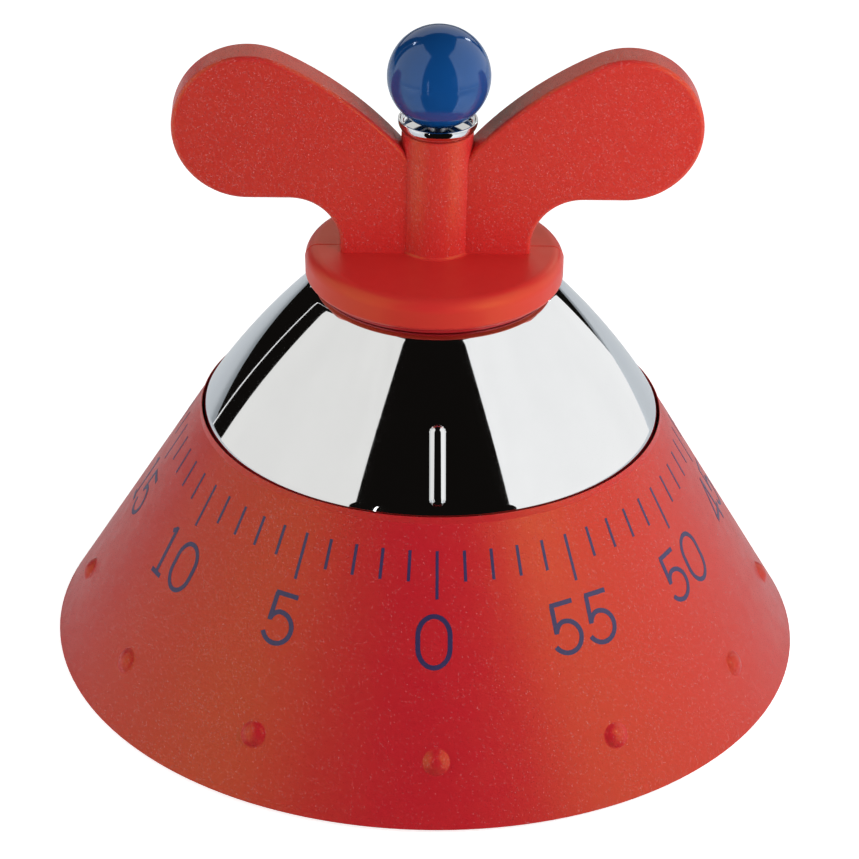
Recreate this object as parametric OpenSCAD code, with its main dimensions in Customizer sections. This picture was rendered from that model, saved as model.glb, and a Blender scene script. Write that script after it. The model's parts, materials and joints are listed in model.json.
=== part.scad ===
// Wind-up kitchen timer: a cone with a sixty-minute scale, a turning dome and winged knob,
// and a spring-driven bell movement inside. Millimetres, +Z up, standing on z = 0.

/* [Cone] */
// Diameter of the cone at its rim
base_d = 110; // [106:1:114]
// Angle of the cone's side above the table, in degrees
cone_angle = 59.1; // [58:0.1:60]
// Height of the cone's edge above its rim
cone_rise = 35.8; // [35:0.1:36.5]
// Thickness of the cone's wall, measured level
wall = 2.7; // [2.4:0.1:3]
// Gap between the rim and the table
rim_lift = 0.6; // [0.4:0.1:0.8]
// Width of the raised dots on the cone
dot_d = 3.6; // [3:0.1:4.2]
// How far each dot stands out of the cone
dot_proud = 0.8; // [0.5:0.1:1]
// Distance from the rim to each dot, up the slope
dot_slant = 9.3; // [8:0.1:11]

/* [Dome] */
// Radius of the dome's skirt
dome_r = 32.95; // [32.8:0.05:33]
// Thickness of the dome's wall
dome_wall = 1.5; // [1.2:0.1:1.8]
// Gap between the dome and the lip around it
lip_gap = 0.3; // [0.25:0.05:0.35]
// Width of the raised pointer
pointer_w = 2.3; // [1.8:0.1:3]
// Length of the raised pointer
pointer_l = 11.2; // [9:0.1:12]
// How far the pointer stands out of the dome
pointer_proud = 0.7; // [0.4:0.1:1]

/* [Knob] */
// Radius of the knob's disc
disc_r = 18.35; // [18:0.05:19]
// Thickness of the knob's disc
disc_t = 4.45; // [4.2:0.05:4.6]
// Rounding of the disc's edge
disc_edge_r = 1.9; // [1:0.1:2]
// Radius of the post between the wings
post_r = 5.05; // [4.9:0.05:5.2]
// Height of the top of the post
post_top_z = 80.4; // [80:0.1:82]
// Thickness of a wing
wing_t = 5.6; // [5:0.1:6]
// Radius of a wing's round end
wing_tip_r = 10.6; // [10:0.1:10.8]
// Distance from the axis to the middle of a wing's round end
wing_tip_x = 26.4; // [26:0.1:27]
// Radius of the ball
ball_r = 7.23; // [7:0.01:7.4]

/* [Movement] */
// Radius of the two movement plates
plate_r = 27; // [26.5:0.1:27.5]
// Thickness of the movement plates
plate_t = 1.2; // [1:0.1:1.2]
// Running clearance of an arbor in its hole
run_gap = 0.05; // [0.03:0.01:0.08]
// Radius of the main arbor
arbor_r = 2.5; // [2.4:0.05:2.5]
// Angle of the second arbor around the main arbor
train_angle = 55; // [50:1:60]
// Radius of the bell
bell_r = 26; // [25.8:0.1:26.2]

/* [Hidden] */
$fn = 64;
// How far a cutting shape runs past the face it cuts
cut = 1;
// Clearance round a screw in its through hole, and round a screw head in its well
screw_gap = 0.15;
head_gap = 0.3;
base_r = base_d / 2;
cone_slope = 1 / tan(cone_angle);
edge_r = base_r - cone_rise * cone_slope;
edge_z = rim_lift + cone_rise;
lip_z = edge_z + 0.95;
lip_bore_r = dome_r + lip_gap;
lip_round_w = 0.12;
lip_round_h = 0.12;
dot_root = 0.6;
deck_z = 30;
deck_t = 2.4;
deck_top_z = deck_z + deck_t;
deck_hole_r = 11;
ledge_z = 2.9;
rebate_r = base_r - 3.4;

// Base plate, feet and base screws
base_plate_z = 0.9;
base_plate_t = ledge_z - base_plate_z;
base_plate_r = rebate_r - 0.1;
foot_r = 4.5;
foot_ring_r = 40;
foot_pocket = 1;
foot_gap = 0.05;
base_screw_ring_r = 44;
base_screw_r = 1.45;
base_screw_hole_r = 1.6;
base_screw_head_r = 2.8;
base_screw_head_z = 1.3;
base_screw_seat_z = 3.5;
base_screw_top_z = 12.5;
base_cup_r = 4.6;
base_cup_top_z = 5.5;
housing_boss_r = 3.6;
housing_boss_top_z = 21;
housing_hole_top_z = 13;
cross_l = 3;
cross_w = 0.7;
cross_deep = 0.9;
slot_pitch = 6;
slot_half = 20;
slot_shorter = 2;
slot_w = 2.4;

// Dome profile: a straight skirt, a small bend, the long side arc and the shoulder
dome_rim_z = 33.4;
dome_bend_r = 2.5;
dome_side_r = 104.12;
dome_side_x = -55.13;
dome_side_z = -18.03;
dome_top_z = 57.1;
dome_shoulder_r = 2.5;
dome_bend_x = dome_r - dome_bend_r;
dome_bend_reach = dome_bend_x - dome_side_x;
dome_bend_span = dome_side_r - dome_bend_r;
dome_bend_z = dome_side_z + sqrt(dome_bend_span ^ 2 - dome_bend_reach ^ 2);
dome_bend_angle = atan2(dome_bend_z - dome_side_z, dome_bend_reach);
dome_shoulder_z = dome_top_z - dome_shoulder_r;
dome_shoulder_span = dome_side_r - dome_shoulder_r;
dome_shoulder_x = dome_side_x + sqrt(dome_shoulder_span ^ 2 - (dome_shoulder_z - dome_side_z) ^ 2);
dome_shoulder_angle = atan2(dome_shoulder_z - dome_side_z, dome_shoulder_x - dome_side_x);
dome_hole_r = 9;
pointer_mid_angle = 35.96;
pointer_root = 0.8;

// Knob and what is on it
collar_r = 16.9;
collar_edge_r = 0.4;
collar_z = dome_top_z;
disc_z = 58.1;
disc_top_z = disc_z + disc_t;
hub_r = 8.95;
hub_z = 51.5;
knob_bore_top_z = 66.5;
wing_tip_z = 81.4;
wing_under_z = wing_tip_z - wing_tip_r;
wing_upper_r = 52;
wing_upper_start = 115;
wing_upper_end = 138.5;
wing_heel_r = 7.2;
wing_heel_x = 20.6;
wing_root = 0.5;
wing_crotch_z = 70.55;
ball_z = 88.39;
ball_ring_r = 5.6;
ball_ring_bend_r = 1.6;
ball_ring_bend_z = 81.85;
ball_ring_top_z = 82.2;
ball_ring_wall = 0.35;
ball_ring_floor_z = 80.95;
stud_r = 1.5;
stud_z = 74;
stud_top_z = 86;
carrier_r = 14.5;
carrier_t = 2;
carrier_top_z = dome_top_z - dome_wall;
carrier_z = carrier_top_z - carrier_t;
carrier_screw_ring_r = 11.8;
carrier_screw_r = 1;
carrier_screw_head_r = 2;
carrier_screw_head_t = 1.3;
carrier_screw_top_z = 60.5;

// Movement plates, pillars and bushes
bottom_plate_z = 15.5;
bottom_plate_top_z = bottom_plate_z + plate_t;
top_plate_z = deck_z - plate_t;
pillar_ring_r = 24;
pillar_angles = [20, 178, 300];
pillar_r = 2;
pillar_stud_r = 1.25;
pillar_stud_z = 14;
pillar_hole_z = 24;
nut_r = 2.6;
nut_z = 14;
mount_head_r = 2.6;
mount_head_t = 1.6;
mount_screw_z = 24.5;
mount_slot_w = 0.7;
mount_slot_z = deck_top_z + mount_head_t - 0.7;
bush_r = 4;
upper_bush_top_z = 31.5;
lower_bush_z = 15.2;
lower_bush_top_z = 16.9;
main_arbor_z = 15.3;
main_arbor_top_z = 66;

// Mainspring and its barrel
barrel_r = 12.8;
barrel_wall = 0.8;
barrel_z = 22;
barrel_cover_t = 0.6;
barrel_hole_r = arbor_r + 0.3;
spring_z = 23;
spring_top_z = 27.6;
spring_inner_r = 3.4;
spring_outer_r = 11.4;
spring_turns = 7;
spring_strip_t = 0.35;
spring_steps = 20;

// Going train: teeth, modules and places
// A tooth is [addendum, depth, root, pitch and tip half-width], widths as shares of half a pitch
wheel_tooth = [0.95, 1.3, 0.52, 0.42, 0.12];
leaf_tooth = [0.55, 1.3, 0.4, 0.36, 0.2];
coarse_module = 0.45;
fine_module = 0.4;
great_teeth = 60;
second_leaves = 10;
second_teeth = 48;
third_leaves = 8;
third_teeth = 42;
escape_leaves = 7;
escape_teeth = 15;
mesh_gap = 0.05;
second_reach = coarse_module * (great_teeth + second_leaves) / 2 + mesh_gap;
third_reach = fine_module * (second_teeth + third_leaves) / 2 + mesh_gap;
escape_reach = fine_module * (third_teeth + escape_leaves) / 2 + mesh_gap;
third_radius = 16;
escape_radius = 19.5;
third_step = corner(second_reach, third_radius, third_reach);
escape_step = corner(third_radius, escape_radius, escape_reach);
second_at = polar(second_reach, train_angle);
third_at = polar(third_radius, train_angle + third_step);
escape_at = polar(escape_radius, train_angle + third_step + escape_step);
second_to_third = heading(second_at, third_at);
third_to_escape = heading(third_at, escape_at);
train_arbor_r = 0.8;
train_arbor_z = 15.6;
train_arbor_top_z = 29.8;
great_wheel_z = 19;
great_wheel_t = 1;
second_pinion_z = 18.8;
second_pinion_t = 1.4;
second_wheel_z = 20.7;
train_wheel_t = 0.6;
third_pinion_z = 20.4;
train_pinion_t = 1.2;
third_wheel_z = 17.1;
escape_pinion_z = 16.9;
escape_wheel_z = 23.5;
escape_wheel_t = 0.8;
escape_r = 5;
// Corners of one escape tooth, each as [share of the wheel's radius, share of the tooth pitch]
escape_tooth = [[0.76, 0], [1, 0.42], [1, 0.52], [0.76, 0.6]];
// Lightening holes of a wheel: their ring as a share of its pitch diameter, their number and radius
window_ring = 0.31;
great_windows = 6;
great_window_r = 2.8;
train_windows = 5;
second_window_r = 2;
third_window_r = 1.7;

// Clutch and alarm cam on the main arbor
cam_r = 6.5;
cam_z = 17.1;
cam_t = 1;
cam_notch_r = 2;
clutch_spring_z = 18.2;
clutch_spring_top_z = 18.9;
clutch_spring_r = 6;
clutch_spring_t = 0.3;
clutch_spring_foot = 1;
clutch_spring_rim = 0.6;
clutch_collar_r = 4.5;
clutch_collar_t = 1.4;

// Pallet lever beside the escape wheel
pallet_reach = 6.8;
pallet_angle = train_angle + third_step + escape_step + 79;
pallet_at = escape_at + polar(pallet_reach, pallet_angle);
pallet_pin_r = 0.3;
pallet_pin_reach = escape_r + 0.75;
pallet_pin_spread = 38;
pallet_arm_z = 24.9;
pallet_arm_t = 0.7;
pallet_arm_w = 1.3;
pallet_hub_r = 1.9;
pallet_pin_z = 23.3;
balance_half = 7;
balance_z = 25.6;
balance_t = 1;
balance_bob_r = 1.6;
balance_w = 1.6;

// Hammer and bell
hammer_at = polar(15.5, 215);
hammer_head_at = polar(20.3, 262);
hammer_arbor_r = 1;
hammer_arbor_z = 13.6;
hammer_arbor_top_z = 29.6;
hammer_lever_z = 14;
hammer_lever_t = 1;
hammer_arm_w = 3;
hammer_hub_r = 2.2;
hammer_head_r = 2.3;
hammer_head_z = 9.5;
hammer_tail_z = 17.1;
hammer_tail_t = 1;
hammer_tail_l = 8.2;
hammer_tail_w = 2;
hammer_coil_r = 1.7;
hammer_coil_z = 20.7;
hammer_coil_pitch = 0.8;
hammer_coil_turns = 6;
hammer_wire_r = 0.25;
hammer_coil_steps = 12;
bell_z = 6;
bell_top_z = 13.5;
bell_wall = 0.9;
bell_curve_r = 6;
bell_post_r = 2.5;
bell_hole_r = 1.6;
bell_screw_r = 1.5;
bell_screw_head_r = 2.8;
bell_screw_head_t = 1.3;
bell_screw_top_z = 12;
bell_screw_hole_z = 12.5;

// ---- Functions ----

function polar(r, a) = [r * cos(a), r * sin(a)];

// Angle between two sides of a triangle, from its three lengths
function corner(side_a, side_b, opposite) =
    acos((side_a ^ 2 + side_b ^ 2 - opposite ^ 2) / (2 * side_a * side_b));

function heading(from, to) = atan2(to[1] - from[1], to[0] - from[0]);

// Points along an arc, both ends included
function arc(x, y, r, a0, a1, steps) =
    [for (i = [0:steps]) [x, y] + polar(r, a0 + (a1 - a0) * i / steps)];

// Outer profile of the dome, moved inwards by inset
function dome_profile(inset) = concat(
    [[dome_r - inset, dome_rim_z]],
    arc(dome_bend_x, dome_bend_z, dome_bend_r - inset, 0, dome_bend_angle, 4),
    arc(dome_side_x, dome_side_z, dome_side_r - inset, dome_bend_angle, dome_shoulder_angle, 8),
    arc(dome_shoulder_x, dome_shoulder_z, dome_shoulder_r - inset, dome_shoulder_angle, 90, 6)
);

// Outline of a gear; the first tooth points along angle a
function gear_outline(teeth, modul, tooth, a) = [
    for (i = [0:teeth - 1], p = [
        [-tooth[1], -tooth[2]], [0, -tooth[3]], [tooth[0], -tooth[4]],
        [tooth[0], tooth[4]], [0, tooth[3]], [-tooth[1], tooth[2]]
    ])
        polar(modul * (teeth / 2 + p[0]), a + 360 * i / teeth + 180 * p[1] / teeth)
];

// Angle of a pinion's first leaf, so that a gap faces a wheel lying at angle a
function facing_gap(leaves, a) = a + 180 + 180 / leaves;

// Centre line of the mainspring at turn t
function spring_radius(t) = spring_inner_r + (spring_outer_r - spring_inner_r) * t / spring_turns;

// ---- Shared shapes ----

// Disc or ring standing on z
module ring(r, hole_r, z, t) {
    translate([0, 0, z])
        linear_extrude(t)
            difference() {
                circle(r);
                circle(hole_r);
            }
}

// Places its children at every angle of a ring of radius r
module around(r, angles) {
    for (a = angles) {
        rotate([0, 0, a])
            translate([r, 0, 0])
                children();
    }
}

// Solid of revolution with a rounded outer edge
module rounded_disc(r, z, t, edge) {
    rotate_extrude()
        polygon(concat(
            [[0, z]],
            arc(r - edge, z + edge, edge, -90, 0, 6),
            arc(r - edge, z + t - edge, edge, 0, 90, 6),
            [[0, z + t]]
        ));
}

// Outside of the cone as one solid, up to its lip
module cone_solid() {
    rotate_extrude()
        polygon([
            [0, rim_lift],
            [base_r, rim_lift],
            [edge_r, edge_z],
            [lip_bore_r + lip_round_w, lip_z - lip_round_h],
            [lip_bore_r, lip_z],
            [0, lip_z]
        ]);
}

// Flat round-ended bar between two points
module bar(from, to, w) {
    span = norm(to - from);
    translate(from)
        rotate([0, 0, heading(from, to)]) {
            translate([0, -w / 2])
                square([span, w]);
            circle(w / 2);
            translate([span, 0])
                circle(w / 2);
        }
}

// Train wheel with lightening holes, its first tooth along angle a
module train_wheel(teeth, modul, a, z, t, bore_r, windows, window_r) {
    translate([0, 0, z])
        linear_extrude(t)
            difference() {
                polygon(gear_outline(teeth, modul, wheel_tooth, a));
                circle(bore_r);
                for (k = [0:windows - 1]) {
                    translate(polar(modul * teeth * window_ring, 360 * k / windows))
                        circle(window_r);
                }
            }
}

// Arbor with its pinion cut in one piece
module pinion_arbor(leaves, modul, a, z, t) {
    translate([0, 0, train_arbor_z])
        cylinder(r = train_arbor_r, h = train_arbor_top_z - train_arbor_z);
    translate([0, 0, z])
        linear_extrude(t)
            polygon(gear_outline(leaves, modul, leaf_tooth, a));
}

// Pan-head screw pointing up, its head below seat_z
module screw_up(shank_r, head_r, head_z, seat_z, tip_z) {
    translate([0, 0, head_z])
        cylinder(r = head_r, h = seat_z - head_z);
    translate([0, 0, seat_z])
        cylinder(r = shank_r, h = tip_z - seat_z);
}

// ---- Case ----

module cone_housing() {
    color("#c8392f") {
        difference() {
            cone_solid();
            rotate_extrude()
                polygon([
                    [0, deck_top_z],
                    [lip_bore_r, deck_top_z],
                    [lip_bore_r, lip_z + cut],
                    [0, lip_z + cut]
                ]);
            rotate_extrude()
                polygon([
                    [0, rim_lift - cut],
                    [rebate_r, rim_lift - cut],
                    [rebate_r, ledge_z],
                    [base_r - wall - (ledge_z - rim_lift) * cone_slope, ledge_z],
                    [base_r - wall - (deck_z - rim_lift) * cone_slope, deck_z],
                    [0, deck_z]
                ]);
            translate([0, 0, deck_z - cut])
                cylinder(r = deck_hole_r, h = deck_t + 2 * cut);
            around(pillar_ring_r, pillar_angles)
                translate([0, 0, deck_z - cut])
                    cylinder(r = pillar_stud_r + screw_gap, h = deck_t + 2 * cut);
        }
        housing_bosses();
        scale_dots();
    }
}

// Screw bosses that run up into the cone's wall
module housing_bosses() {
    difference() {
        intersection() {
            around(base_screw_ring_r, [0:90:270])
                translate([0, 0, base_cup_top_z])
                    cylinder(r = housing_boss_r, h = housing_boss_top_z - base_cup_top_z);
            translate([0, 0, -cut])
                cone_solid();
        }
        around(base_screw_ring_r, [0:90:270])
            translate([0, 0, base_cup_top_z - cut])
                cylinder(r = base_screw_r, h = housing_hole_top_z - base_cup_top_z + cut);
    }
}

// Raised dots below every fifth minute
module scale_dots() {
    for (k = [0:11]) {
        rotate([0, 0, 30 * k - 90])
            translate([base_r - dot_slant * cos(cone_angle), 0, rim_lift + dot_slant * sin(cone_angle)])
                rotate([0, cone_angle - 90, 0])
                    dot();
    }
}

// One dot: a low round cap standing out along +X
module dot() {
    cap_r = (dot_d ^ 2 / 4 + dot_proud ^ 2) / (2 * dot_proud);
    translate([dot_proud - cap_r, 0, 0])
        intersection() {
            rotate([0, 90, 0])
                sphere(r = cap_r);
            translate([cap_r - dot_proud - dot_root, -dot_d, -dot_d])
                cube([dot_proud + dot_root + cut, 2 * dot_d, 2 * dot_d]);
        }
}

module base_plate() {
    color("#262626")
        difference() {
            union() {
                translate([0, 0, base_plate_z])
                    cylinder(r = base_plate_r, h = base_plate_t);
                around(base_screw_ring_r, [0:90:270])
                    translate([0, 0, ledge_z])
                        cylinder(r = base_cup_r, h = base_cup_top_z - ledge_z);
            }
            around(base_screw_ring_r, [0:90:270]) {
                translate([0, 0, base_plate_z - cut])
                    cylinder(r = base_screw_head_r + head_gap, h = base_screw_seat_z - base_plate_z + cut);
                translate([0, 0, base_plate_z])
                    cylinder(r = base_screw_hole_r, h = base_cup_top_z);
            }
            around(foot_ring_r, [45:90:315])
                translate([0, 0, base_plate_z - cut])
                    cylinder(r = foot_r, h = foot_pocket + cut);
            sound_slots();
        }
}

// Slots that let the bell be heard
module sound_slots() {
    for (k = [-3:3]) {
        half = slot_half - slot_shorter * abs(k);
        translate([0, slot_pitch * k, base_plate_z - cut])
            linear_extrude(base_plate_t + 2 * cut)
                bar([-half, 0], [half, 0], slot_w);
    }
}

module base_screws() {
    color("#b9bcc0")
        around(base_screw_ring_r, [0:90:270])
            difference() {
                screw_up(base_screw_r, base_screw_head_r, base_screw_head_z,
                    base_screw_seat_z, base_screw_top_z);
                cross_recess(base_screw_head_z);
            }
}

// Cross cut into the lower face of a screw head at height z
module cross_recess(z) {
    for (a = [0, 90]) {
        rotate([0, 0, a])
            translate([-cross_l / 2, -cross_w / 2, z - cut])
                cube([cross_l, cross_w, cross_deep + cut]);
    }
}

module rubber_feet() {
    color("#1c1c1c")
        around(foot_ring_r, [45:90:315])
            cylinder(r = foot_r - foot_gap, h = base_plate_z + foot_pocket);
}

// ---- Movement frame ----

module movement_bottom_plate() {
    color("#c9a84c")
        difference() {
            ring(plate_r, bush_r, bottom_plate_z, plate_t);
            plate_holes(bottom_plate_z);
            around(pillar_ring_r, pillar_angles)
                translate([0, 0, bottom_plate_z - cut])
                    cylinder(r = pillar_stud_r, h = plate_t + 2 * cut);
        }
}

module movement_top_plate() {
    color("#c9a84c")
        difference() {
            ring(plate_r, bush_r, top_plate_z, plate_t);
            plate_holes(top_plate_z);
            around(pillar_ring_r, pillar_angles)
                translate([0, 0, top_plate_z - cut])
                    cylinder(r = pillar_stud_r + screw_gap, h = plate_t + 2 * cut);
        }
}

// Pivot holes of the train, the pallet and the hammer
module plate_holes(z) {
    for (at = [second_at, third_at, escape_at, pallet_at]) {
        translate([at[0], at[1], z - cut])
            cylinder(r = train_arbor_r + run_gap, h = plate_t + 2 * cut);
    }
    translate([hammer_at[0], hammer_at[1], z - cut])
        cylinder(r = hammer_arbor_r + run_gap, h = plate_t + 2 * cut);
}

module movement_pillars() {
    color("#b9bcc0")
        around(pillar_ring_r, pillar_angles) {
            difference() {
                translate([0, 0, bottom_plate_top_z])
                    cylinder(r = pillar_r, h = top_plate_z - bottom_plate_top_z);
                translate([0, 0, pillar_hole_z])
                    cylinder(r = pillar_stud_r, h = top_plate_z);
            }
            translate([0, 0, pillar_stud_z])
                cylinder(r = pillar_stud_r, h = bottom_plate_top_z - pillar_stud_z);
        }
}

module pillar_nuts() {
    color("#b9bcc0")
        around(pillar_ring_r, pillar_angles)
            translate([0, 0, nut_z])
                linear_extrude(bottom_plate_z - nut_z)
                    difference() {
                        circle(nut_r, $fn = 6);
                        circle(pillar_stud_r);
                    }
}

module mount_screws() {
    color("#b9bcc0")
        around(pillar_ring_r, pillar_angles) {
            translate([0, 0, mount_screw_z])
                cylinder(r = pillar_stud_r, h = deck_top_z - mount_screw_z);
            difference() {
                translate([0, 0, deck_top_z])
                    cylinder(r = mount_head_r, h = mount_head_t);
                translate([-mount_head_r - cut, -mount_slot_w / 2, mount_slot_z])
                    cube([2 * (mount_head_r + cut), mount_slot_w, mount_head_t]);
            }
        }
}

module upper_bush() {
    color("#b5893a")
        ring(bush_r, arbor_r + run_gap, top_plate_z, upper_bush_top_z - top_plate_z);
}

module lower_bush() {
    color("#b5893a")
        ring(bush_r, arbor_r + run_gap, lower_bush_z, lower_bush_top_z - lower_bush_z);
}

// ---- Mainspring ----

module spring_barrel() {
    color("#c9a84c")
        difference() {
            translate([0, 0, barrel_z])
                cylinder(r = barrel_r, h = top_plate_z - barrel_z);
            translate([0, 0, barrel_z - cut])
                cylinder(r = barrel_r - barrel_wall, h = top_plate_z - barrel_z - barrel_wall + cut);
            translate([0, 0, barrel_z])
                cylinder(r = barrel_hole_r, h = top_plate_z);
        }
}

module barrel_cover() {
    color("#b5893a")
        ring(barrel_r - barrel_wall, barrel_hole_r, barrel_z, barrel_cover_t);
}

module mainspring() {
    steps = spring_turns * spring_steps;
    color("#5b6470")
        translate([0, 0, spring_z])
            linear_extrude(spring_top_z - spring_z)
                polygon(concat(
                    [for (i = [0:steps])
                        polar(spring_radius(i / spring_steps) + spring_strip_t / 2,
                            360 * i / spring_steps)],
                    [for (i = [steps:-1:0])
                        polar(spring_radius(i / spring_steps) - spring_strip_t / 2,
                            360 * i / spring_steps)]
                ));
}

// ---- Bell ----

module bell_post() {
    color("#b9bcc0")
        difference() {
            translate([0, 0, bell_z + bell_wall])
                cylinder(r = bell_post_r, h = lower_bush_z - bell_z - bell_wall);
            translate([0, 0, bell_z])
                cylinder(r = bell_screw_r, h = bell_screw_hole_z - bell_z);
        }
}

module bell() {
    inner_r = bell_curve_r - bell_wall;
    color("#cfd3d6")
        rotate_extrude()
            polygon(concat(
                [[bell_hole_r, bell_z]],
                arc(bell_r - bell_curve_r, bell_z + bell_curve_r, bell_curve_r, -90, 0, 6),
                [[bell_r, bell_top_z], [bell_r - bell_wall, bell_top_z]],
                arc(bell_r - bell_curve_r, bell_z + bell_curve_r, inner_r, 0, -90, 6),
                [[bell_hole_r, bell_z + bell_wall]]
            ));
}

module bell_screw() {
    color("#b9bcc0")
        screw_up(bell_screw_r, bell_screw_head_r, bell_z - bell_screw_head_t,
            bell_z, bell_screw_top_z);
}

// ---- Turning dome and knob ----

module dome() {
    color("#dfe3e6")
        difference() {
            union() {
                rotate_extrude()
                    polygon(concat(dome_profile(0), [[0, dome_top_z], [0, dome_rim_z]]));
                pointer();
            }
            rotate_extrude()
                polygon(concat(
                    [[dome_r - dome_wall, dome_rim_z - cut]],
                    dome_profile(dome_wall),
                    [[0, dome_top_z - dome_wall], [0, dome_rim_z - cut]]
                ));
            translate([0, 0, carrier_z])
                cylinder(r = dome_hole_r, h = 2 * dome_wall + carrier_t);
            carrier_screw_holes(carrier_screw_r + run_gap);
        }
}

// Raised bar on the dome's side, over the scale's 0
module pointer() {
    mid = [dome_side_x, dome_side_z] + polar(dome_side_r, pointer_mid_angle);
    reach = (pointer_l - pointer_w) / 2;
    rotate([0, 0, -90])
        translate([mid[0], 0, mid[1]])
            rotate([0, 90 - pointer_mid_angle, 0])
                translate([0, 0, -pointer_root])
                    linear_extrude(pointer_root + pointer_proud)
                        bar([-reach, 0], [reach, 0], pointer_w);
}

// Holes for the three screws that clamp the dome under the knob
module carrier_screw_holes(r) {
    around(carrier_screw_ring_r, [30:120:270])
        translate([0, 0, carrier_z - cut])
            cylinder(r = r, h = carrier_screw_top_z - carrier_z + cut);
}

module collar_ring() {
    color("#b3302a")
        difference() {
            rounded_disc(collar_r, collar_z, disc_z - collar_z, collar_edge_r);
            translate([0, 0, collar_z - cut])
                cylinder(r = dome_hole_r, h = disc_z);
            carrier_screw_holes(carrier_screw_r + run_gap);
        }
}

module knob() {
    color("#c8392f")
        difference() {
            union() {
                rounded_disc(disc_r, disc_z, disc_t, disc_edge_r);
                translate([0, 0, hub_z])
                    cylinder(r = hub_r, h = disc_z - hub_z + cut);
                translate([0, 0, disc_z + cut])
                    cylinder(r = post_r, h = post_top_z - disc_z - cut);
                wing();
                mirror([1, 0, 0])
                    wing();
            }
            translate([0, 0, hub_z - cut])
                cylinder(r = arbor_r, h = knob_bore_top_z - hub_z + cut);
            translate([0, 0, stud_z])
                cylinder(r = stud_r, h = post_top_z);
            carrier_screw_holes(carrier_screw_r);
        }
}

// One wing, standing in the plane of the post
module wing() {
    upper_x = wing_tip_x - (wing_upper_r - wing_tip_r) * cos(wing_upper_start);
    upper_z = wing_tip_z - (wing_upper_r - wing_tip_r) * sin(wing_upper_start);
    heel_z = wing_under_z - wing_heel_r;
    rotate([90, 0, 0])
        translate([0, 0, -wing_t / 2])
            linear_extrude(wing_t)
                polygon(concat(
                    arc(wing_tip_x, wing_tip_z, wing_tip_r, -90, wing_upper_start, 36),
                    arc(upper_x, upper_z, wing_upper_r, wing_upper_start, wing_upper_end, 8),
                    [[0, wing_crotch_z], [0, disc_top_z - wing_root]],
                    [[wing_heel_x - wing_heel_r, disc_top_z - wing_root]],
                    arc(wing_heel_x, heel_z, wing_heel_r, 180, 90, 14)
                ));
}

module ball() {
    color("#2146a0")
        difference() {
            translate([0, 0, ball_z])
                sphere(r = ball_r);
            translate([0, 0, ball_z - ball_r - cut])
                cylinder(r = stud_r, h = stud_top_z - ball_z + ball_r + cut);
        }
}

// Thin round cup that the ball sits in
module ball_ring() {
    bend_x = ball_ring_r - ball_ring_bend_r;
    inner_r = ball_ring_bend_r - ball_ring_wall;
    outer_end = -asin((ball_ring_bend_z - post_top_z) / ball_ring_bend_r);
    inner_end = -asin((ball_ring_bend_z - ball_ring_floor_z) / inner_r);
    color("#dfe3e6")
        difference() {
            rotate_extrude()
                polygon(concat(
                    [[stud_r, post_top_z]],
                    arc(bend_x, ball_ring_bend_z, ball_ring_bend_r, outer_end, 0, 8),
                    [[ball_ring_r, ball_ring_top_z], [ball_ring_r - ball_ring_wall, ball_ring_top_z]],
                    arc(bend_x, ball_ring_bend_z, inner_r, 0, inner_end, 6),
                    [[stud_r, ball_ring_floor_z]]
                ));
            translate([0, 0, ball_z])
                sphere(r = ball_r);
        }
}

module ball_stud() {
    color("#b9bcc0")
        translate([0, 0, stud_z])
            cylinder(r = stud_r, h = stud_top_z - stud_z);
}

module dome_carrier() {
    color("#262626")
        difference() {
            ring(carrier_r, dome_hole_r, carrier_z, carrier_t);
            carrier_screw_holes(carrier_screw_r + run_gap);
        }
}

module carrier_screws() {
    color("#b9bcc0")
        around(carrier_screw_ring_r, [30:120:270])
            screw_up(carrier_screw_r, carrier_screw_head_r, carrier_z - carrier_screw_head_t,
                carrier_z, carrier_screw_top_z);
}

// ---- Main arbor and what it carries ----

module main_arbor() {
    color("#9aa0a6")
        translate([0, 0, main_arbor_z])
            cylinder(r = arbor_r, h = main_arbor_top_z - main_arbor_z);
}

module great_wheel() {
    color("#d1b056")
        train_wheel(great_teeth, coarse_module, train_angle, great_wheel_z, great_wheel_t,
            arbor_r, great_windows, great_window_r);
}

// Dished washer that lets the arbor slip past the great wheel when it is wound
module clutch_spring() {
    color("#8b9096")
        rotate_extrude()
            polygon([
                [arbor_r, clutch_spring_z],
                [arbor_r + clutch_spring_foot, clutch_spring_z],
                [clutch_spring_r, clutch_spring_top_z - clutch_spring_t],
                [clutch_spring_r, clutch_spring_top_z],
                [clutch_spring_r - clutch_spring_rim, clutch_spring_top_z],
                [arbor_r + clutch_spring_foot, clutch_spring_z + clutch_spring_t],
                [arbor_r, clutch_spring_z + clutch_spring_t]
            ]);
}

module clutch_collar() {
    color("#b5893a")
        ring(clutch_collar_r, arbor_r, great_wheel_z + great_wheel_t, clutch_collar_t);
}

module alarm_cam() {
    color("#9aa0a6")
        translate([0, 0, cam_z])
            linear_extrude(cam_t)
                difference() {
                    circle(cam_r);
                    circle(arbor_r);
                    translate(polar(cam_r, heading([0, 0], hammer_at)))
                        circle(cam_notch_r);
                }
}

// ---- Going train ----

module second_arbor() {
    color("#9aa0a6")
        translate([second_at[0], second_at[1], 0])
            pinion_arbor(second_leaves, coarse_module, facing_gap(second_leaves, train_angle),
                second_pinion_z, second_pinion_t);
}

module second_wheel() {
    color("#d1b056")
        translate([second_at[0], second_at[1], 0])
            train_wheel(second_teeth, fine_module, second_to_third, second_wheel_z,
                train_wheel_t, train_arbor_r, train_windows, second_window_r);
}

module third_arbor() {
    color("#9aa0a6")
        translate([third_at[0], third_at[1], 0])
            pinion_arbor(third_leaves, fine_module, facing_gap(third_leaves, second_to_third),
                third_pinion_z, train_pinion_t);
}

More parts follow.
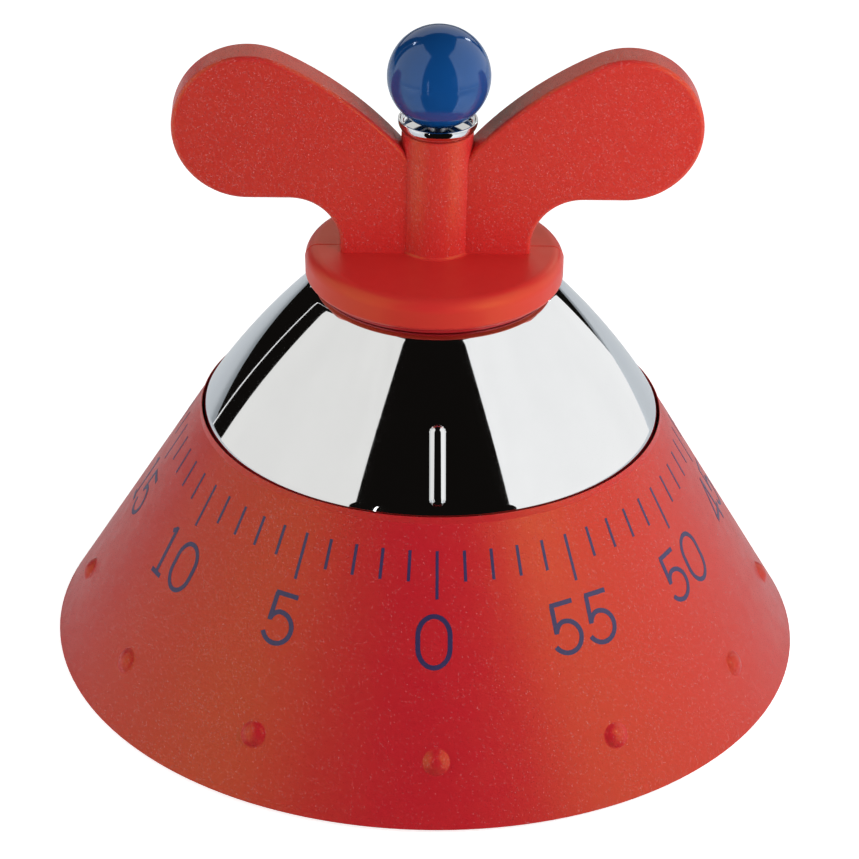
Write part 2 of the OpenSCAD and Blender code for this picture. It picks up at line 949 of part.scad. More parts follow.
module third_wheel() {
    color("#d1b056")
        translate([third_at[0], third_at[1], 0])
            train_wheel(third_teeth, fine_module, third_to_escape, third_wheel_z,
                train_wheel_t, train_arbor_r, train_windows, third_window_r);
}

module escape_arbor() {
    color("#9aa0a6")
        translate([escape_at[0], escape_at[1], 0])
            pinion_arbor(escape_leaves, fine_module, facing_gap(escape_leaves, third_to_escape),
                escape_pinion_z, train_pinion_t);
}

// Escape wheel with slanted, pointed teeth
module escape_wheel() {
    color("#d1b056")
        translate([escape_at[0], escape_at[1], escape_wheel_z])
            linear_extrude(escape_wheel_t)
                difference() {
                    polygon([
                        for (i = [0:escape_teeth - 1], p = escape_tooth)
                            polar(escape_r * p[0], 360 * (i + p[1]) / escape_teeth)
                    ]);
                    circle(train_arbor_r);
                }
}

// ---- Pallet lever ----

module pallet_arbor() {
    color("#9aa0a6")
        translate([pallet_at[0], pallet_at[1], train_arbor_z])
            cylinder(r = train_arbor_r, h = train_arbor_top_z - train_arbor_z);
}

module pallet_lever() {
    pins = [for (s = [-1, 1])
        escape_at + polar(pallet_pin_reach, pallet_angle + s * pallet_pin_spread)];
    ends = [for (s = [-1, 1]) pallet_at + polar(s * balance_half, pallet_angle + 90)];
    color("#9aa0a6")
        difference() {
            union() {
                translate([0, 0, pallet_arm_z])
                    linear_extrude(pallet_arm_t)
                        for (pin = pins) {
                            bar(pallet_at, pin, pallet_arm_w);
                        }
                for (pin = pins) {
                    translate([pin[0], pin[1], pallet_pin_z])
                        cylinder(r = pallet_pin_r, h = pallet_arm_z + pallet_arm_t / 2 - pallet_pin_z);
                }
                translate([0, 0, balance_z])
                    linear_extrude(balance_t) {
                        bar(ends[0], ends[1], balance_w);
                        for (end = ends) {
                            translate(end)
                                circle(balance_bob_r);
                        }
                    }
                translate([pallet_at[0], pallet_at[1], pallet_arm_z])
                    cylinder(r = pallet_hub_r, h = balance_z + balance_t - pallet_arm_z);
            }
            translate([pallet_at[0], pallet_at[1], pallet_arm_z - cut])
                cylinder(r = train_arbor_r, h = balance_z + balance_t - pallet_arm_z + 2 * cut);
        }
}

// ---- Hammer ----

module hammer_arbor() {
    color("#9aa0a6")
        translate([hammer_at[0], hammer_at[1], hammer_arbor_z])
            cylinder(r = hammer_arbor_r, h = hammer_arbor_top_z - hammer_arbor_z);
}

module hammer_lever() {
    color("#9aa0a6")
        translate([0, 0, hammer_lever_z])
            linear_extrude(hammer_lever_t)
                difference() {
                    union() {
                        bar(hammer_at, hammer_head_at, hammer_arm_w);
                        translate(hammer_at)
                            circle(hammer_hub_r);
                    }
                    translate(hammer_at)
                        circle(hammer_arbor_r);
                }
}

// Arm that the alarm cam holds off until the pointer reaches 0
module hammer_tail() {
    tip = hammer_at + polar(hammer_tail_l - hammer_tail_w / 2, heading(hammer_at, [0, 0]));
    color("#9aa0a6")
        translate([0, 0, hammer_tail_z])
            linear_extrude(hammer_tail_t)
                difference() {
                    union() {
                        bar(hammer_at, tip, hammer_tail_w);
                        translate(hammer_at)
                            circle(hammer_hub_r);
                    }
                    translate(hammer_at)
                        circle(hammer_arbor_r);
                }
}

module hammer_head() {
    color("#b5893a")
        translate([hammer_head_at[0], hammer_head_at[1], hammer_head_z])
            cylinder(r = hammer_head_r, h = hammer_lever_z - hammer_head_z);
}

// Light coil spring round the hammer's arbor, swept as one closed tube
module hammer_spring() {
    sides = 6;
    rings = hammer_coil_turns * hammer_coil_steps;
    points = [
        for (i = [0:rings], k = [0:sides - 1])
            let (
                a = 360 * i / hammer_coil_steps,
                r = hammer_coil_r + hammer_wire_r * cos(360 * k / sides),
                z = hammer_coil_pitch * i / hammer_coil_steps + hammer_wire_r * sin(360 * k / sides)
            )
            [r * cos(a), r * sin(a), z]
    ];
    walls = [
        for (i = [0:rings - 1], k = [0:sides - 1])
            let (next = (k + 1) % sides)
            [sides * i + k, sides * i + next, sides * (i + 1) + next, sides * (i + 1) + k]
    ];
    caps = [
        [for (k = [sides - 1:-1:0]) k],
        [for (k = [0:sides - 1]) sides * rings + k]
    ];
    color("#8b9096")
        translate([hammer_at[0], hammer_at[1], hammer_coil_z])
            polyhedron(points, concat(walls, caps));
}

cone_housing();
base_plate();
base_screws();
rubber_feet();
movement_bottom_plate();
movement_top_plate();
movement_pillars();
pillar_nuts();
mount_screws();
upper_bush();
lower_bush();
spring_barrel();
barrel_cover();
mainspring();
bell_post();
bell();
bell_screw();
hammer_spring();
dome();
collar_ring();
knob();
ball();
ball_ring();
ball_stud();
dome_carrier();
carrier_screws();
main_arbor();
great_wheel();
clutch_spring();
clutch_collar();
alarm_cam();
second_arbor();
second_wheel();
third_arbor();
third_wheel();
escape_arbor();
escape_wheel();
pallet_arbor();
pallet_lever();
hammer_arbor();
hammer_lever();
hammer_tail();
hammer_head();
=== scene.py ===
import json
import math

import bmesh
import bpy
from mathutils import Matrix, Vector


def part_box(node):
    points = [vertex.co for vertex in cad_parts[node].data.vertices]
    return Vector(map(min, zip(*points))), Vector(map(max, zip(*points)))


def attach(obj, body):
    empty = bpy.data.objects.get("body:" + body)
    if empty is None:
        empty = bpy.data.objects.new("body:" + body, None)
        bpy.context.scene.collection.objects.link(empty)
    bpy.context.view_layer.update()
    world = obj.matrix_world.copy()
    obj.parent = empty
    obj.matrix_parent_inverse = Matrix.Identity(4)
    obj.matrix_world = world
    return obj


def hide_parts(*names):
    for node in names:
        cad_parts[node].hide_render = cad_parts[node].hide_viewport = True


# Looks for the wind-up kitchen timer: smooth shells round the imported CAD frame, a printed scale,
# procedural materials, a studio and the camera. Outlines are in millimetres and become metres in the mesh.

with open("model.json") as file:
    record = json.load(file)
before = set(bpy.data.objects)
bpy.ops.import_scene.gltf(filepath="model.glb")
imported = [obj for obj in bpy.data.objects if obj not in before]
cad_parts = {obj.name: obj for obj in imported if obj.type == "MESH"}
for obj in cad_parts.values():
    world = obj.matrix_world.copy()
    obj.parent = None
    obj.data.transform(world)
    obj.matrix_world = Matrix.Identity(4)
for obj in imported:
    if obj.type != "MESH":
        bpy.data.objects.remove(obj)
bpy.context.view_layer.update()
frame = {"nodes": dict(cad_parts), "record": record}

MM = 0.001


def millimetres(node):
    """Lowest and highest corner of a CAD node, in millimetres."""
    low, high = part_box(node)
    return low / MM, high / MM


# ---- Sizes read from the frame ----

case_low, case_high = millimetres("cone_housing")
dome_low, dome_high = millimetres("dome")
knob_low, knob_high = millimetres("knob")
cup_low, cup_high = millimetres("ball_ring")
stud_low, stud_high = millimetres("ball_stud")
collar_high = millimetres("collar_ring")[1]
ball_high = millimetres("ball")[1]
arbor_high = millimetres("main_arbor")[1]

RIM_R = case_high.x
RIM_Z = case_low.z
LIP_Z = case_high.z
DOME_R = dome_high.x
DOME_RIM_Z = dome_low.z
DOME_TOP_Z = dome_high.z
COLLAR_R = collar_high.x
DISC_R = knob_high.y
DISC_Z = collar_high.z
HUB_Z = knob_low.z
POST_TOP_Z = cup_low.z
BALL_R = ball_high.x
BALL_Z = ball_high.z - BALL_R
STUD_R = stud_high.x
ARBOR_R = arbor_high.x

# ---- Sizes that the outlines add ----

CONE_ANGLE = math.radians(59.1)
CONE_RISE = 35.8
EDGE_R = RIM_R - CONE_RISE / math.tan(CONE_ANGLE)
EDGE_Z = RIM_Z + CONE_RISE
LIP_BORE_R = DOME_R + 0.3
LIP_TOP_W = 0.1
HEM_R = 0.25
COLLAR_BORE_R = 9.0
DECK_TOP_Z = 32.4
DECK_Z = 30.0
DECK_HOLE_R = 11.0
WALL = 2.7
LEDGE_Z = 2.9
REBATE_R = RIM_R - 3.4
DOT_R = 1.8
DOT_PROUD = 0.8
DOT_FOOT = 0.45
DOT_BLEND = 0.12
DOT_SLANT = 9.3
DOT_STEP = 30
POINTER_W = 2.15
POINTER_L = 11.2
POINTER_PROUD = 0.7
POINTER_MARGIN = 0.3
POINTER_ANGLE = math.radians(35.96)
POST_R = 5.05
HUB_R = 8.95
DISC_T = 4.45
DISC_TOP_Z = DISC_Z + DISC_T
EDGE_BEND = 1.85
WING_ROOT = 1.2
KNOB_BORE_TOP_Z = 66.5
FRONT = -90

TURN_STEP = 1.5
TURN = [TURN_STEP * i for i in range(240)]


# ---- Outline helpers, in millimetres ----

def arc(cx, cz, r, start, end, steps):
    """Points along an arc, angles in degrees, both ends included."""
    points = []
    for i in range(steps + 1):
        a = math.radians(start + (end - start) * i / steps)
        points.append((cx + r * math.cos(a), cz + r * math.sin(a)))
    return points


def rounded(corners, closed=True, steps=6):
    """Outline through corners (x, z, radius), each rounded by an arc of its own radius. An open
    outline starts and ends at its first and last corner."""
    points = []
    for i, (x, z, radius) in enumerate(corners):
        if radius == 0 or (not closed and i in (0, len(corners) - 1)):
            points.append((x, z))
            continue
        here = Vector((x, z))
        before = (Vector(corners[i - 1][:2]) - here).normalized()
        after = (Vector(corners[(i + 1) % len(corners)][:2]) - here).normalized()
        half = before.angle(after) / 2
        reach = radius / math.tan(half)
        middle = here + (before + after).normalized() * radius / math.sin(half)
        first = here + before * reach - middle
        last = here + after * reach - middle
        start = math.degrees(math.atan2(first.y, first.x))
        turn = (math.degrees(math.atan2(last.y, last.x)) - start + 180) % 360 - 180
        points += arc(middle.x, middle.y, radius, start, start + turn, steps)
    return points


def spread(low, high, step):
    """Numbers from low to high, both included, about step apart."""
    count = max(1, round((high - low) / step))
    return [low + (high - low) * i / count for i in range(count + 1)]


# ---- Mesh helpers ----

def make_object(name, vertices, faces):
    """Object from vertices in millimetres."""
    mesh = bpy.data.meshes.new(name)
    mesh.from_pydata([(x * MM, y * MM, z * MM) for x, y, z in vertices], [], faces)
    mesh.validate()
    piece = bpy.data.objects.new(name, mesh)
    bpy.context.scene.collection.objects.link(piece)
    return piece


def lathe(name, rows, angles=None, lift=None, closed=True, aim=None):
    """Solid of revolution about Z. rows are (r, z); angles are the columns, in degrees.
    aim(row, angle) may turn a point to another angle, and lift(row, angle) may then move it by
    (outwards, upwards). Open rows start and end on the axis."""
    angles = angles or TURN
    vertices, faces, rings = [], [], []
    for k, (r, z) in enumerate(rows):
        if r < 1e-6:
            rings.append([len(vertices)] * len(angles))
            vertices.append((0, 0, z))
            continue
        rings.append(list(range(len(vertices), len(vertices) + len(angles))))
        for angle in angles:
            angle = aim(k, angle) if aim else angle
            out, up = lift(k, angle) if lift else (0, 0)
            a = math.radians(angle)
            vertices.append(((r + out) * math.cos(a), (r + out) * math.sin(a), z + up))
    pairs = list(zip(rings, rings[1:])) + ([(rings[-1], rings[0])] if closed else [])
    for low, high in pairs:
        for i in range(len(angles)):
            j = (i + 1) % len(angles)
            corners = [low[i], low[j], high[j], high[i]]
            faces.append([c for n, c in enumerate(corners) if c != corners[n - 1]])
    return make_object(name, vertices, faces)


def settle(piece, crease=35):
    """Points all normals outwards and shades smoothly between creases."""
    work = bmesh.new()
    work.from_mesh(piece.data)
    bmesh.ops.recalc_face_normals(work, faces=work.faces)
    work.to_mesh(piece.data)
    work.free()
    piece.data.shade_smooth()
    piece.data.set_sharp_from_angle(angle=math.radians(crease))
    weighted = piece.modifiers.new("weighted_normals", "WEIGHTED_NORMAL")
    weighted.keep_sharp = True
    return piece


def combine(piece, tool):
    """Joins a second closed mesh onto a piece; the tool is used up."""
    modifier = piece.modifiers.new("join", "BOOLEAN")
    modifier.operation = "UNION"
    modifier.solver = "EXACT"
    modifier.object = tool
    shape = piece.evaluated_get(bpy.context.evaluated_depsgraph_get())
    made = bpy.data.meshes.new_from_object(shape)
    piece.modifiers.remove(modifier)
    piece.data = made
    bpy.data.objects.remove(tool)


def place(piece, material, body, replaced=()):
    """Gives a new piece its finish and its CAD body."""
    piece.data.materials.clear()
    piece.data.materials.append(material)
    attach(piece, body)
    if replaced:
        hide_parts(*replaced)


# ---- Material helpers ----

class Finish:
    """One Principled material and short ways to add nodes to it."""

    def __init__(self, name, colour, roughness, metallic=0.0):
        self.material = bpy.data.materials.new(name)
        self.material.use_nodes = True
        self.material.diffuse_color = (*colour, 1)
        self.tree = self.material.node_tree
        self.shader = self.tree.nodes["Principled BSDF"]
        self.shader.inputs["Base Color"].default_value = (*colour, 1)
        self.shader.inputs["Roughness"].default_value = roughness
        self.shader.inputs["Metallic"].default_value = metallic
        self.place = self.add("ShaderNodeTexCoord").outputs["Object"]
        self.normal = None

    def add(self, kind, links=(), **values):
        """A node with its sockets set by name, and links as (socket, output) pairs."""
        made = self.tree.nodes.new(kind)
        for key, value in values.items():
            setattr(made, key, value)
        for socket, source in links:
            if isinstance(source, bpy.types.NodeSocket):
                self.tree.links.new(source, made.inputs[socket])
            else:
                made.inputs[socket].default_value = source
        return made

    def stretched(self, x, y, z):
        """Object coordinates scaled by axis, for grain that runs one way."""
        mapping = self.add("ShaderNodeMapping", [("Vector", self.place), ("Scale", (x, y, z))])
        return mapping.outputs["Vector"]

    def noise(self, size_mm, detail=2.0, vector=None):
        """Noise whose patches are about size_mm across."""
        made = self.add("ShaderNodeTexNoise", [
            ("Vector", vector or self.place), ("Scale", 1 / (size_mm * MM)),
            ("Detail", detail), ("Roughness", 0.5),
        ])
        return made.outputs["Fac"]

    def vector_math(self, operation, *vectors, **values):
        """Result of one operation on one or two vectors."""
        links = list(enumerate(vectors)) + list(values.items())
        return self.add("ShaderNodeVectorMath", links, operation=operation).outputs[0]

    def ranged(self, source, low, high, to_low, to_high):
        """Source mapped from one range to another, clamped at its ends."""
        made = self.add("ShaderNodeMapRange", [
            ("Value", source), ("From Min", low), ("From Max", high),
            ("To Min", to_low), ("To Max", to_high),
        ])
        return made.outputs["Result"]

    def mottle(self, fac, dark, light):
        """Base colour between two tones."""
        mix = self.add("ShaderNodeMix", data_type="RGBA")
        self.tree.links.new(fac, mix.inputs[0])
        mix.inputs[6].default_value = (*dark, 1)
        mix.inputs[7].default_value = (*light, 1)
        self.tree.links.new(mix.outputs[2], self.shader.inputs["Base Color"])

    def roughen(self, source, low, high):
        """Roughness that follows source over its middle range."""
        result = self.ranged(source, 0.3, 0.7, low, high)
        self.tree.links.new(result, self.shader.inputs["Roughness"])

    def bump(self, height, depth_mm):
        """Relief of a given depth from a height between 0 and 1."""
        links = [("Height", height), ("Distance", depth_mm * MM), ("Strength", 1.0)]
        self.normal = self.add("ShaderNodeBump", links).outputs["Normal"]
        self.tree.links.new(self.normal, self.shader.inputs["Normal"])


def moulded(name, dark, light, roughness, grain_mm, grain_depth, specular=0.5):
    """Moulded plastic or rubber: faint mottling, a fine grain, uneven gloss."""
    mottle_mm, gloss_mm, gloss_change = 9.0, 2.6, 0.12
    finish = Finish(name, light, roughness)
    finish.mottle(finish.noise(mottle_mm, 3.0), dark, light)
    duller = finish.noise(gloss_mm, 3.0)
    finish.roughen(duller, roughness * (1 - gloss_change), roughness * (1 + gloss_change))
    finish.bump(finish.noise(grain_mm), grain_depth)
    finish.shader.inputs["Specular IOR Level"].default_value = specular
    return finish


def sparkling(name, dark, light, tilt, share, start_z=-1.0):
    """Spark-eroded red plastic: a fine grain, and a coat that shows only on scattered tiny facets, each
    leaning its own way. share of the facets show. Below the height start_z the mould was polished."""
    facet_mm, fade_mm, faint_share = 0.11, 0.4, 0.4
    finish = moulded(name, dark, light, roughness=0.36, grain_mm=0.3, grain_depth=0.006, specular=0.68)
    finish.shader.inputs["Specular Tint"].default_value = (1.0, 0.79, 0.14, 1)
    facets = finish.add("ShaderNodeTexVoronoi", [
        ("Vector", finish.place), ("Scale", 1 / (facet_mm * MM)),
    ]).outputs["Color"]
    pick = finish.add("ShaderNodeTexWhiteNoise", [("Vector", facets)]).outputs["Value"]
    chosen = finish.ranged(pick, 1 - share, 1 - share * (1 - faint_share), 0.0, 1.0)
    height = finish.add("ShaderNodeSeparateXYZ", [("Vector", finish.place)]).outputs["Z"]
    above = finish.ranged(height, start_z * MM, (start_z + fade_mm) * MM, 0.0, 1.0)
    weight = finish.add("ShaderNodeMath", [(0, chosen), (1, above)], operation="MULTIPLY")
    centred = finish.vector_math("SUBTRACT", facets, (0.5, 0.5, 0.5))
    leaned = finish.vector_math("SCALE", centred, Scale=tilt)
    unit = finish.vector_math("NORMALIZE", finish.vector_math("ADD", finish.normal, leaned))
    finish.tree.links.new(unit, finish.shader.inputs["Coat Normal"])
    finish.tree.links.new(weight.outputs[0], finish.shader.inputs["Coat Weight"])
    finish.shader.inputs["Coat Roughness"].default_value = 0.2
    finish.shader.inputs["Coat IOR"].default_value = 1.9
    return finish


def metal(name, dark, light, roughness, brush=(1, 1, 1), brush_mm=0.3, brush_depth=0.002):
    """Bare or plated metal with brushing along its least scaled axis and slight tarnish."""
    tarnish_mm, glossiest, dullest = 5.0, 0.75, 1.3
    finish = Finish(name, light, roughness, metallic=1.0)
    finish.mottle(finish.noise(tarnish_mm, 4.0), dark, light)
    streaks = finish.noise(brush_mm, 3.0, finish.stretched(*brush))
    finish.roughen(streaks, roughness * glossiest, roughness * dullest)
    finish.bump(streaks, brush_depth)
    return finish


# ---- Materials ----

red = sparkling("red_satin", (0.560, 0.0125, 0.026), (0.590, 0.0145, 0.029), 0.8, 0.08)
# The knob's red is a lighter, more orange copy of the cone's red: painted light that stands in for the
# extra light falling on the knob and its wings.
red_knob_painted_light = sparkling(
    "red_satin_knob_painted_light", (0.68, 0.028, 0.029), (0.71, 0.032, 0.032), 1.25, 0.28, DISC_TOP_Z + 0.2,
)
red_smooth = moulded("red_smooth", (0.50, 0.014, 0.020), (0.54, 0.018, 0.022), 0.24, 0.6, 0.002)
blue = moulded("blue_polished", (0.0055, 0.067, 0.255), (0.0065, 0.076, 0.280), 0.10, 1.2, 0.0006, 0.95)
blue.shader.inputs["Specular Tint"].default_value = (0.60, 0.75, 1.0, 1)
ink = moulded("scale_ink", (0.030, 0.024, 0.085), (0.050, 0.036, 0.120), 0.42, 0.25, 0.008)
black = moulded("black_satin", (0.012, 0.012, 0.013), (0.018, 0.018, 0.019), 0.5, 0.35, 0.012)
rubber = moulded("rubber", (0.014, 0.014, 0.014), (0.022, 0.021, 0.020), 0.8, 0.5, 0.02, 0.3)
chrome = metal(
    "chrome_plate", (0.80, 0.81, 0.82), (0.84, 0.85, 0.86), 0.035, brush_mm=1.4, brush_depth=0.0002,
)
brass_sheet = metal("brass_brushed", (0.60, 0.42, 0.16), (0.72, 0.53, 0.22), 0.3, (1, 12, 12))
brass_turned = metal("brass_turned", (0.55, 0.36, 0.13), (0.68, 0.47, 0.18), 0.25, (1, 1, 14))
steel = metal("steel_zinc", (0.48, 0.49, 0.51), (0.60, 0.61, 0.63), 0.32, (1, 1, 10))
blued = metal("steel_blued", (0.16, 0.18, 0.24), (0.25, 0.28, 0.33), 0.3, (1, 1, 16))
nickel = metal("nickel_plate", (0.70, 0.69, 0.66), (0.78, 0.79, 0.80), 0.12, brush_mm=0.8)

CAD_FINISHES = {
    "red_plastic": red, "red_gloss": red_smooth, "chrome": chrome, "blue_gloss": blue,
    "black_plastic": black, "black_rubber": rubber, "brass_sheet": brass_sheet,
    "brass_turned": brass_turned, "steel": steel, "spring_steel": blued, "bell_metal": nickel,
}


# ---- Cone housing ----

def slant_point(slant):
    """(r, z) on the cone's side, slant millimetres up from the rim."""
    return (RIM_R - slant * math.cos(CONE_ANGLE), RIM_Z + slant * math.sin(CONE_ANGLE))


def dot_height(distance):
    """How far the cone stands out at a distance from a dot's middle: a cap with a soft foot."""
    cap_r = (DOT_R ** 2 + DOT_PROUD ** 2) / (2 * DOT_PROUD)
    cap = math.sqrt(max(cap_r ** 2 - distance ** 2, 0)) - cap_r + DOT_PROUD
    share = min(max(0.5 + cap / (2 * DOT_BLEND), 0), 1)
    return share * cap + DOT_BLEND * share * (1 - share)


def inner_r(z):
    """Inside radius of the cone's wall at a height."""
    return RIM_R - WALL - (z - RIM_Z) / math.tan(CONE_ANGLE)


def cone_shell():
    """Cone with its raised dots, the lip round the dome, the deck under the dome, and the foot's rebate."""
    reach = DOT_R + DOT_FOOT
    first_slant, last_slant = 0.4, 41.0
    foot_step, dot_step, upper_step = 2, 0.16, 2.6
    slants = spread(first_slant, DOT_SLANT - reach, foot_step)
    slants += spread(DOT_SLANT - reach, DOT_SLANT + reach, dot_step)[1:]
    slants += spread(DOT_SLANT + reach, last_slant, upper_step)[1:]
    foot = [(REBATE_R, RIM_Z, 0), (RIM_R, RIM_Z, 0.1), (*slant_point(last_slant), 0)]
    rows = rounded(foot, False)[:-1]
    side = {}
    for slant in slants:
        side[len(rows)] = slant
        rows.append(slant_point(slant))
    rows += rounded([
        (*slant_point(last_slant), 0), (EDGE_R, EDGE_Z, 0.25),
        (LIP_BORE_R + LIP_TOP_W, LIP_Z, 0.04), (LIP_BORE_R, LIP_Z, 0.04),
        (LIP_BORE_R, DECK_TOP_Z, 0.25), (DECK_HOLE_R, DECK_TOP_Z, 0.3),
        (DECK_HOLE_R, DECK_Z, 0.3), (inner_r(DECK_Z), DECK_Z, 0.8),
        (inner_r(LEDGE_Z), LEDGE_Z, 0.1), (REBATE_R, LEDGE_Z, 0.1), (REBATE_R, RIM_Z, 0),
    ], False)[1:-1]
    fine = math.degrees(reach / slant_point(DOT_SLANT)[0])
    fine_step, coarse_step = 0.17, 2
    angles = []
    for k in range(360 // DOT_STEP):
        middle = FRONT + DOT_STEP * k
        angles += [middle + a for a in spread(-fine, fine, fine_step)]
        angles += [middle + a for a in spread(fine, DOT_STEP - fine, coarse_step)[1:-1]]

    def lift(row, angle):
        """The dots stand out square to the cone's side."""
        if row not in side:
            return 0, 0
        r = rows[row][0]
        off = (angle - FRONT + DOT_STEP / 2) % DOT_STEP - DOT_STEP / 2
        height = dot_height(math.hypot(side[row] - DOT_SLANT, math.radians(off) * r))
        return height * math.sin(CONE_ANGLE), height * math.cos(CONE_ANGLE)

    return settle(lathe("cone_shell", rows, angles, lift), 50)


# ---- Dome ----

def dome_rows():
    """Outer outline of the dome as (r, z, outward angle), and the pointer's middle as (r, z).
    The outline is a straight hem, a tight bend, one long arc, and a shoulder into the flat top."""
    bend_r, side_r, side_x, side_z, shoulder_r = 2.5, 104.12, -55.13, -18.03, 2.5
    bend_x = DOME_R - bend_r
    bend_z = side_z + math.sqrt((side_r - bend_r) ** 2 - (bend_x - side_x) ** 2)
    bend_end = math.degrees(math.atan2(bend_z - side_z, bend_x - side_x))
    shoulder_z = DOME_TOP_Z - shoulder_r
    shoulder_x = side_x + math.sqrt((side_r - shoulder_r) ** 2 - (shoulder_z - side_z) ** 2)
    shoulder_start = math.degrees(math.atan2(shoulder_z - side_z, shoulder_x - side_x))
    middle = math.degrees(POINTER_ANGLE)
    half = math.degrees((POINTER_L / 2 + POINTER_MARGIN) / side_r)
    tip = math.degrees(POINTER_W * 0.75 / side_r)
    tip_step, bar_step, upper_step, bend_step, shoulder_step = 0.045, 0.35, 0.4, 1.9, 4
    side = spread(bend_end, middle - half + tip, tip_step)
    side += spread(middle - half + tip, middle + half - tip, bar_step)[1:]
    side += spread(middle + half - tip, middle + half, tip_step)[1:]
    side += spread(middle + half, shoulder_start, upper_step)[1:]
    above_rim, below_bend = 0.8, 0.3
    hem_heights = (DOME_RIM_Z + HEM_R, DOME_RIM_Z + above_rim, bend_z - below_bend)
    rows = [(DOME_R, z, 0.0) for z in hem_heights]
    for cx, cz, r, turns in (
        (bend_x, bend_z, bend_r, spread(0, bend_end, bend_step)),
        (side_x, side_z, side_r, side[1:]),
        (shoulder_x, shoulder_z, shoulder_r, spread(shoulder_start, 90, shoulder_step)[1:]),
    ):
        for turn in turns:
            a = math.radians(turn)
            rows.append((cx + r * math.cos(a), cz + r * math.sin(a), turn))
    return rows, (side_x + side_r * math.cos(POINTER_ANGLE), side_z + side_r * math.sin(POINTER_ANGLE))


def pointer_height(along, across):
    """How far the dome stands out near the pointer: a round-ended bar with an arched top."""
    half, arch = (POINTER_L - POINTER_W) / 2, 2.3
    distance = math.hypot(max(abs(along) - half, 0), across) / (POINTER_W / 2)
    return POINTER_PROUD * math.sqrt(1 - distance ** arch) if distance < 1 else 0.0


def dome_shell():
    """Dome with an even wall, the hole for the knob's hub, and the raised pointer."""
    outer, (middle_r, middle_z) = dome_rows()
    wall, hole_r, hole_edge = 1.5, COLLAR_BORE_R, 0.2
    hem = [(DOME_R - HEM_R, DOME_RIM_Z), (DOME_R - wall + HEM_R, DOME_RIM_Z)]
    inner = []
    for r, z, turn in reversed(outer[::4]):
        a = math.radians(turn)
        inner.append((r - wall * math.cos(a), z - wall * math.sin(a)))
    rows = [(r, z) for r, z, turn in outer]
    rows += [(hole_r + hole_edge, DOME_TOP_Z), (hole_r, DOME_TOP_Z - hole_edge)]
    rows += [(hole_r, DOME_TOP_Z - wall)]
    rows += inner[1:] + hem[::-1]
    reach = POINTER_W / 2 + POINTER_MARGIN
    fine, fine_step, limit = 1.5, 0.07, 180
    columns = spread(-fine, fine, fine_step) + spread(fine, 2 * limit - fine, TURN_STEP)[1:-1]

    def aim(row, column):
        """Fine columns keep their distance from the pointer's middle line; the rest share the turn."""
        near = math.degrees(reach / rows[row][0])
        off = (column + limit) % (2 * limit) - limit
        if abs(off) > fine:
            past = (abs(off) - fine) / (limit - fine)
            return FRONT + math.copysign(near + past * (limit - near), off)
        return FRONT + off * near / fine

    def lift(row, angle):
        """The pointer stands out square to the dome's side."""
        if row >= len(outer):
            return 0, 0
        r, z, turn = outer[row]
        off = (angle - FRONT + limit) % (2 * limit) - limit
        a = math.radians(turn)
        slope_x = math.sin(POINTER_ANGLE) * (r - middle_r) - math.cos(POINTER_ANGLE) * (z - middle_z)
        height = pointer_height(slope_x, math.radians(off) * r)
        return height * math.cos(a), height * math.sin(a)

    return settle(lathe("dome_shell", rows, columns, lift, aim=aim), 60)


# ---- Collar, knob, ball and cup ----

def collar():
    """Flat ring between the dome and the knob's disc."""
    corners = [
        (COLLAR_BORE_R, DOME_TOP_Z, 0), (COLLAR_R, DOME_TOP_Z, 0.25),
        (COLLAR_R, DISC_Z, 0.25), (COLLAR_BORE_R, DISC_Z, 0),
    ]
    return settle(lathe("collar", rounded(corners)))


def knob_core():
    """Disc, hub and post with the arbor's bore and the stud's hole, as one turned solid."""
    corners = [
        (0, KNOB_BORE_TOP_Z, 0), (ARBOR_R, KNOB_BORE_TOP_Z, 0),
        (ARBOR_R, HUB_Z, 0.2), (HUB_R, HUB_Z, 0.3),
        (HUB_R, DISC_Z, 0), (DISC_R, DISC_Z, 0.7),
        (DISC_R, DISC_TOP_Z, EDGE_BEND), (POST_R, DISC_TOP_Z, 0.5),
        (POST_R, POST_TOP_Z, 0.3), (STUD_R, POST_TOP_Z, 0),
        (STUD_R, stud_low.z, 0), (0, stud_low.z, 0),
    ]
    rows = rounded(corners, False, 10)
    line_h, line_half, line_drop = 0.06, 0.3, 1.2
    angles = sorted(TURN + [line_half, 180 - line_half, 180 + line_half, 360 - line_half])

    def lift(row, angle):
        """A fine mould line across the disc, in the plane of the wings."""
        r, z = rows[row]
        if angle not in (0, 180) or r < HUB_R or z < DISC_TOP_Z - EDGE_BEND - line_drop:
            return 0, 0
        normal = Vector((max(r - DISC_R + EDGE_BEND, 0), max(z - DISC_TOP_Z + EDGE_BEND, 0)))
        return tuple(normal.normalized() * line_h)

    return lathe("knob_body", rows, angles, lift, closed=False)


def wing_outline():
    """Outline of the right-hand wing in X and Z, from its underside round its end to the post."""
    tip_r, tip_z = 10.6, 81.4
    tip_x = knob_high.x - tip_r
    upper_r, upper_start, upper_end = 52.0, 115.0, 138.5
    heel_r, heel_x = 7.2, 20.6
    upper_x = tip_x - (upper_r - tip_r) * math.cos(math.radians(upper_start))
    upper_z = tip_z - (upper_r - tip_r) * math.sin(math.radians(upper_start))
    under_z = tip_z - tip_r
    root_z = DISC_TOP_Z - WING_ROOT
    points = arc(heel_x, under_z - heel_r, heel_r, 180, 90, 24)
    points += arc(tip_x, tip_z, tip_r, -90, upper_start, 72)
    points += arc(upper_x, upper_z, upper_r, upper_start, upper_end, 16)[1:]
    points += [(0, under_z), (0, root_z), (heel_x - heel_r, root_z)]
    return points


